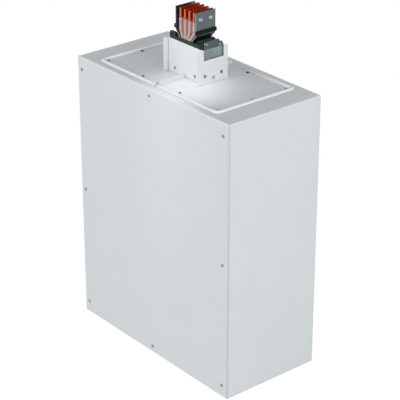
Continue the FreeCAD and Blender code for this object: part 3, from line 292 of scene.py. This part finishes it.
def copper(name):
    """Rolled bar: drawing lines, painted shade that makes it browner to the rear, patches of tarnish, pale
    edges as painted highlight and painted shade on the ends.
    """
    shader = Shader(name)
    lines = shader.noise(1.0, 4.0, 0.6, shader.stretched((700.0, 700.0, 9.0)))
    bright = shader.blend(shader.spread(lines, 0.0, 1.0), (0.92, 0.095, 0.03), (1.0, 0.13, 0.045))
    depth = shader.node("ShaderNodeSeparateXYZ", Vector=shader.place).outputs["Y"]
    # Painted shade, darker and browner towards the rear
    rearward = shader.spread(depth, 0.0, 1.0, 0.5 * BAR_FRONT, BAR_REAR)
    rear_shaded = shader.blend(rearward, bright, (0.24, 0.05, 0.022))
    # Pale edges that look along Y, a painted highlight
    highlighted_edges = shader.blend(shader.facing("Y"), rear_shaded, (0.54, 0.21, 0.13))
    # Painted shade on the ends that look along Z
    ends_shaded = shader.blend(shader.facing("Z"), highlighted_edges, (0.15, 0.035, 0.015))
    tarnish = shader.spread(shader.noise(45.0, 6.0, 0.65), 0.0, 0.4, 0.45, 0.75)
    shader.link(shader.blend(tarnish, ends_shaded, (0.40, 0.085, 0.04)), "Base Color")
    shader.link(shader.spread(lines, 0.28, 0.42), "Roughness")
    shader.link(shader.bump(lines, 0.1, 0.0002, shader.soft_edges(0.0008)), "Normal")
    shader.set(Metallic=1.0, Specular_Tint=(1.0, 0.45, 0.3, 1.0))
    return shader.material


def film(name):
    """Pinkish insulating film: wrapped bands across the bar, a soft sheen, painted light on the faces that
    look along X and painted shade on the leaning ones.
    """
    shader = Shader(name)
    bands = shader.noise(1.0, 2.0, 0.5, shader.stretched((30.0, 30.0, 160.0)))
    patch = shader.spread(shader.noise(60.0, 4.0), 0.0, 1.0)
    edge = shader.blend(patch, (0.45, 0.305, 0.285), (0.55, 0.40, 0.375))
    # Painted light on the faces that look along X, which lie in shade
    x_faces_lit = shader.blend(shader.facing("X"), edge, (0.78, 0.51, 0.455))
    # Painted shade on the faces that lean up or down
    tone = shader.blend(shader.leaning(), x_faces_lit, (0.36, 0.235, 0.21))
    shader.link(shader.blend(shader.spread(bands, 0.0, 0.3), tone, (0.42, 0.25, 0.22)), "Base Color")
    shader.link(shader.spread(bands, 0.38, 0.52), "Roughness")
    shader.link(shader.bump(bands, 0.15, 0.0003), "Normal")
    return shader.material


def foam(name):
    shader = Shader(name)
    pores = shader.node("ShaderNodeSeparateColor", Color=shader.cells(900.0)).outputs["Red"]
    shader.link(shader.blend(pores, (0.03, 0.03, 0.03), (0.06, 0.06, 0.06)), "Base Color")
    shader.link(shader.spread(pores, 0.75, 0.9), "Roughness")
    shader.link(shader.bump(pores, 0.4, 0.0005), "Normal")
    return shader.material


MATERIALS = {
    # The last two numbers of each paint are the painted highlight factors of its top edges, away from and
    # near the pool of light
    "box_paint": paint("box_paint", BOX_COLOUR, BOX_GLOSS, 0.0035, 1.42, 1.08),
    "trunk_paint": paint("trunk_paint", (0.76, 0.785, 0.79), 0.25, 0.0012, 1.25, 1.25),
    "zinc_sheet": zinc("zinc_sheet", (0.255, 0.30, 0.315), 0.28),
    "plated_screw": plated("plated_screw", (0.34, 0.35, 0.355), 0.26),
    "dark_screw": plated("dark_screw", (0.025, 0.026, 0.027), 0.34),
    "black_moulding": moulding("black_moulding", (0.0155, 0.0235, 0.0255), 0.42, 1500.0),
    "copper_bar": copper("copper_bar"),
    "pink_sleeve": film("pink_sleeve"),
    "foam_rubber": foam("foam_rubber"),
    "cream_moulding": moulding("cream_moulding", (0.60, 0.47, 0.32), 0.5, 900.0),
}


def dress(obj, slot):
    obj.data.materials.clear()
    obj.data.materials.append(MATERIALS[slot])


for row in frame["record"]["subparts"]:
    dress(nodes[row["node"]], row["material_slot"])

# The pan's bead is rounder than the box's edges, with painted shade along its seam, the housing plates are
# a darker copy of the zinc as painted shade, with a painted highlight on their cut edges and lighter
# dimples as painted glints, the shields are a lighter copy with painted shade on their slopes, the strips
# are duller than the collar, and the trunk's domed screws are brighter
pan_paint = paint("pan_paint", BOX_COLOUR, BOX_GLOSS, 0.005, 1.44, 0.98, seam=True)
housing_zinc_shaded = zinc("housing_zinc_shaded", (0.122, 0.147, 0.156), 0.24, sheared_highlight=3.4)
dimple_zinc_glint = zinc("dimple_zinc_glint", (0.37, 0.41, 0.42), 0.14)
shield_zinc = zinc("shield_zinc", (0.30, 0.365, 0.385), 0.28, sloped_shade=0.58)
bright_screw = plated("bright_screw", (0.44, 0.45, 0.455), 0.2)
strip_moulding = moulding("strip_moulding", (0.011, 0.0135, 0.0145), 0.55, 1500.0, 0.06)
for side in ("left", "right"):
    nodes[f"flange_half_{side}"].data.materials[0] = pan_paint
    nodes[f"housing_plate_{side}"].data.materials[0] = housing_zinc_shaded
    nodes[f"joint_shield_{side}"].data.materials[0] = shield_zinc
    nodes[f"clamp_strip_{side}"].data.materials[0] = strip_moulding


# Pieces with more detail than the solids

HEAD_SIDES = 28
SHANK_SIDES = 12

# How far each screw of a set is turned on from the one before, in radians
SCREW_TURN = 0.65


def new_piece(name, form, slot, body, smooth=35.0):
    mesh = bpy.data.meshes.new(name)
    form.to_mesh(mesh)
    form.free()
    mesh.shade_smooth()
    mesh.set_sharp_from_angle(angle=math.radians(smooth))
    piece = bpy.data.objects.new(name, mesh)
    scene.collection.objects.link(piece)
    dress(piece, slot)
    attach(piece, body)
    return piece


def turned(form, heights, radius_at, sides):
    """Closed form round Z. Its radius depends on the height and on the turn."""
    turns = [2 * math.pi * step / sides for step in range(sides)]

    def corner(height, turn):
        radius = radius_at(height, turn)
        return form.verts.new((radius * math.cos(turn), radius * math.sin(turn), height))

    rings = [[corner(height, turn) for turn in turns] for height in heights]
    for low, high in zip(rings, rings[1:]):
        for step in range(sides):
            after = (step + 1) % sides
            form.faces.new((low[step], low[after], high[after], high[step]))
    form.faces.new(rings[0][::-1])
    form.faces.new(rings[-1])


def carved(form, tool):
    """The form with the tool's shape cut out of it."""
    parts = []
    for name, source in (("carved", form), ("tool", tool)):
        mesh = bpy.data.meshes.new(name)
        source.to_mesh(mesh)
        source.free()
        parts.append(bpy.data.objects.new(name, mesh))
        scene.collection.objects.link(parts[-1])
    cut = parts[0].modifiers.new("cut", "BOOLEAN")
    cut.operation = "DIFFERENCE"
    cut.solver = "EXACT"
    cut.object = parts[1]
    graph = bpy.context.evaluated_depsgraph_get()
    result = bmesh.new()
    result.from_object(parts[0], graph)
    for part in parts:
        mesh = part.data
        bpy.data.objects.remove(part)
        bpy.data.meshes.remove(mesh)
    return result


def cross_tool(reach, width, top, depth):
    """Cross recess that narrows downwards."""
    tool = bmesh.new()
    rings = []
    for share, height in ((0.55, top - depth), (1.0, top + depth * 0.4)):
        far = reach * share
        near = width * (0.7 + 0.3 * share)
        arm = ((far, -near), (far, near), (near, near))
        quarter_turns = ((1, 0), (0, 1), (-1, 0), (0, -1))
        rings.append([tool.verts.new((x * c - y * s, x * s + y * c, height))
                      for c, s in quarter_turns for x, y in arm])
    low, high = rings
    for step in range(12):
        after = (step + 1) % 12
        tool.faces.new((low[step], low[after], high[after], high[step]))
    tool.faces.new(low[::-1])
    tool.faces.new(high)
    return tool


def screw_form(domed, radius, height, shank, length):
    """Screw along Z with its seat at zero: shaped head, cross recess and a threaded shank."""
    head = bmesh.new()
    if domed:
        shares = [0.0, 0.14, 0.32, 0.5, 0.66, 0.8, 0.9, 0.965, 1.0]
        foot, crown, least = 0.08, 0.88, 0.12

        def dome(z, _):
            climb = max(z / height - foot, 0)
            return radius * max(math.sqrt(max(1 - climb ** 2 / crown ** 2, 0)), least)

        turned(head, [share * height for share in shares], dome, HEAD_SIDES)
    else:
        edge = [(0.0, 1.0), (0.45, 1.0), (0.75, 0.965), (0.92, 0.91), (1.0, 0.84)]
        spans = {round(share * height, 8): part for share, part in edge}
        turned(head, list(spans), lambda z, _: radius * spans[round(z, 8)], HEAD_SIDES)
    depth = 0.55 * height if domed else 0.7 * height
    form = carved(head, cross_tool(0.58 * radius, 0.15 * radius, height, depth))
    pitch = 0.8 * MM
    cut = 0.45 * MM
    steps = max(int(length / pitch * 4), 8)

    def thread(z, turn):
        groove = 0.5 - 0.5 * math.cos(2 * math.pi * (z / pitch) - turn)
        taper = min(1.0, 0.72 + 0.28 * (z + length) / (1.5 * pitch))
        return (shank - cut * groove) * taper

    heights = [-length + length * 1.02 * step / steps for step in range(steps + 1)]
    turned(form, heights, thread, SHANK_SIDES)
    return form


def solids(node):
    """The separate solids of a CAD node, each as an array of its corners."""
    mesh = bmesh.new()
    mesh.from_mesh(nodes[node].data)
    bmesh.ops.remove_doubles(mesh, verts=mesh.verts, dist=1e-6)
    for corner in mesh.verts:
        corner.tag = False
    found = []
    for first in mesh.verts:
        if first.tag:
            continue
        first.tag = True
        queue = [first]
        for corner in queue:
            for edge in corner.link_edges:
                other = edge.other_vert(corner)
                if not other.tag:
                    other.tag = True
                    queue.append(other)
        found.append(np.array([corner.co for corner in queue]))
    mesh.free()
    return found


def screw_frame(corners):
    """Seat, axis, head radius and height, shank radius and length of a CAD screw."""
    middle = corners.mean(axis=0)
    spans, axes = np.linalg.eigh(np.cov((corners - middle).T))
    axis = axes[:, 2] if spans[2] - spans[1] > spans[1] - spans[0] else axes[:, 0]
    along = (corners - middle) @ axis
    out = np.linalg.norm(corners - middle - np.outer(along, axis), axis=1)
    wide = out > 0.8 * out.max()
    if along[wide].mean() < along[~wide].mean():
        axis, along = -axis, -along
    seat = along[wide].min()
    return (Vector(middle + axis * seat), Vector(axis), out.max(), along.max() - seat, out[~wide].max(),
            seat - along.min())


def detailed_screws(node, domed, slot, body="frame"):
    """One piece of detailed screws in place of a CAD node of plain ones."""
    form = bmesh.new()
    template = None
    for index, corners in enumerate(solids(node)):
        seat, axis, radius, height, shank, length = screw_frame(corners)
        if template is None:
            source = screw_form(domed, radius, height, shank, length)
            template = bpy.data.meshes.new(f"{node}_template")
            source.to_mesh(template)
            source.free()
        upright = axis.to_track_quat("Z", "Y").to_matrix().to_4x4()
        turn = upright @ Matrix.Rotation(SCREW_TURN * index, 4, "Z")
        copy = template.copy()
        copy.transform(Matrix.Translation(seat) @ turn)
        form.from_mesh(copy)
        bpy.data.meshes.remove(copy)
    bpy.data.meshes.remove(template)
    piece = new_piece(f"{node}_detailed", form, slot, body)
    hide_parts(node)


def dimple_domes(name, side):
    """Smooth domes over the many-sided dimples of a housing plate."""
    corners = np.array([corner.co for corner in nodes[f"housing_plate_{name}"].data.vertices])
    reach = side * corners[:, 0]
    tops = corners[reach > reach.max() - 0.2 * MM]
    foot, radius, height = -2.4 * MM, 6.5 * MM, 2.75 * MM
    shares = [-0.2, 0.0, 0.25, 0.45, 0.6, 0.72, 0.82, 0.9, 0.96, 0.99]
    form = bmesh.new()
    for end in (-1, 1):
        dome = bmesh.new()
        turned(dome, [share * height for share in shares],
               lambda z, _: radius * math.sqrt(1 - max(z / height, 0) ** 3), HEAD_SIDES)
        place = Vector(tops[end * tops[:, 1] > 0].mean(axis=0)) + Vector((side * foot, 0, 0))
        outward = Matrix.Rotation(side * math.pi / 2, 4, "Y")
        bmesh.ops.transform(dome, matrix=Matrix.Translation(place) @ outward, verts=dome.verts)
        mesh = bpy.data.meshes.new("dome")
        dome.to_mesh(mesh)
        dome.free()
        form.from_mesh(mesh)
        bpy.data.meshes.remove(mesh)
    piece = new_piece(f"housing_dimples_{name}", form, "zinc_sheet", "frame", 60.0)
    # The domes take the lighter zinc, a painted glint
    piece.data.materials[0] = dimple_zinc_glint


dimple_domes("left", -1)
dimple_domes("right", 1)
detailed_screws("cover_screws", True, "plated_screw", "cover")
detailed_screws("flange_screws", False, "dark_screw")
detailed_screws("gland_screws", True, "plated_screw")
detailed_screws("trunk_flat_screws", False, "plated_screw")
detailed_screws("trunk_dome_screws", True, "plated_screw")
detailed_screws("trunk_web_screws", True, "dark_screw")
detailed_screws("shield_screws", True, "plated_screw")

for node in ("trunk_dome_screws", "trunk_web_screws"):
    bpy.data.objects[f"{node}_detailed"].data.materials[0] = bright_screw


# Floor, light and camera

def stage_floor():
    """Pale floor that is lost in the white background, with soft shadows still on it."""
    reach = 30.0
    whiteness = 1.06
    white_share = 0.88
    corners = [(-reach, -reach, 0), (reach, -reach, 0), (reach, reach, 0), (-reach, reach, 0)]
    mesh = bpy.data.meshes.new("floor")
    mesh.from_pydata(corners, [], [(0, 1, 2, 3)])
    floor = bpy.data.objects.new("floor", mesh)
    scene.collection.objects.link(floor)
    material = bpy.data.materials.new("floor")
    material.use_nodes = True
    tree = material.node_tree
    tree.nodes.clear()
    rays = tree.nodes.new("ShaderNodeLightPath")
    seen = rays.outputs["Is Camera Ray"]
    for kind in ("Is Glossy Ray", "Is Transmission Ray"):
        either = tree.nodes.new("ShaderNodeMath")
        either.operation = "MAXIMUM"
        tree.links.new(seen, either.inputs[0])
        tree.links.new(rays.outputs[kind], either.inputs[1])
        seen = either.outputs[0]
    share = tree.nodes.new("ShaderNodeMath")
    share.operation = "MULTIPLY"
    share.inputs[1].default_value = white_share
    tree.links.new(seen, share.inputs[0])
    matt = tree.nodes.new("ShaderNodeBsdfDiffuse")
    matt.inputs["Color"].default_value = (0.9, 0.9, 0.9, 1.0)
    white = tree.nodes.new("ShaderNodeEmission")
    white.inputs["Color"].default_value = (1.0, 1.0, 1.0, 1.0)
    white.inputs["Strength"].default_value = whiteness
    mix = tree.nodes.new("ShaderNodeMixShader")
    tree.links.new(share.outputs[0], mix.inputs[0])
    tree.links.new(matt.outputs[0], mix.inputs[1])
    tree.links.new(white.outputs[0], mix.inputs[2])
    out = tree.nodes.new("ShaderNodeOutputMaterial")
    tree.links.new(mix.outputs[0], out.inputs["Surface"])
    mesh.materials.append(material)


def sky():
    """Even studio surround: white at the horizon, greyer above."""
    world = bpy.data.worlds.new("studio")
    scene.world = world
    world.use_nodes = True
    tree = world.node_tree
    place = tree.nodes.new("ShaderNodeTexCoord")
    split = tree.nodes.new("ShaderNodeSeparateXYZ")
    tree.links.new(place.outputs["Generated"], split.inputs[0])
    ramp = tree.nodes.new("ShaderNodeValToRGB")
    tree.links.new(split.outputs["Z"], ramp.inputs["Fac"])
    stops = ramp.color_ramp.elements
    stops[0].position = 0.0
    stops[0].color = (1.0, 1.0, 1.0, 1.0)
    stops[1].position = 1.0
    stops[1].color = (0.60, 0.61, 0.62, 1.0)
    for position, level in ((0.18, 0.95), (0.36, 0.41), (0.62, 0.41)):
        stop = stops.new(position)
        stop.color = (level, level * 1.01, level * 1.02, 1.0)
    shade = tree.nodes["Background"]
    tree.links.new(ramp.outputs["Color"], shade.inputs["Color"])
    shade.inputs["Strength"].default_value = 1.0


def aim(name, light, place, target):
    obj = bpy.data.objects.new(name, light)
    obj.location = place
    obj.rotation_euler = (Vector(target) - Vector(place)).to_track_quat("-Z", "Y").to_euler()
    scene.collection.objects.link(obj)


def lamp(name, place, target, size, watts):
    light = bpy.data.lights.new(name, "AREA")
    light.shape = "DISK"
    light.size = size
    light.energy = watts
    aim(name, light, place, target)


def pool(name, place, target, cone, watts):
    """Soft round pool of light."""
    light = bpy.data.lights.new(name, "SPOT")
    light.spot_size = cone
    light.spot_blend = 1.0
    light.shadow_soft_size = 0.06
    light.energy = watts
    aim(name, light, place, target)


def camera():
    back = Vector((math.sin(CAMERA_AZIMUTH) * math.cos(CAMERA_ELEVATION),
                   -math.cos(CAMERA_AZIMUTH) * math.cos(CAMERA_ELEVATION),
                   math.sin(CAMERA_ELEVATION)))
    right = Vector((0, 0, 1)).cross(back).normalized()
    up = back.cross(right)
    data = bpy.data.cameras.new("camera")
    data.lens = CAMERA_LENS
    data.sensor_width = SENSOR_WIDTH
    data.clip_end = 100.0
    obj = bpy.data.objects.new("camera", data)
    turn = Matrix((right, up, back)).transposed().to_4x4()
    eye = right * CAMERA_RIGHT + up * CAMERA_UP + back * CAMERA_DISTANCE
    obj.matrix_world = Matrix.Translation(eye) @ turn
    scene.collection.objects.link(obj)
    scene.camera = obj


stage_floor()
sky()
lamp("front_lamp", (-0.6, -3.6, 1.7), (0.0, 0.0, 0.45), 2.4, 34.5)
lamp("side_lamp", (3.5, -0.7, 1.75), (0.0, 0.0, 0.45), 2.2, 43.0)
pool("trunk_pool", (0.15, -0.45, 2.35), (0.062, -0.084, 0.751), 0.178, 72.0)
camera()
scene.view_settings.view_transform = "Standard"
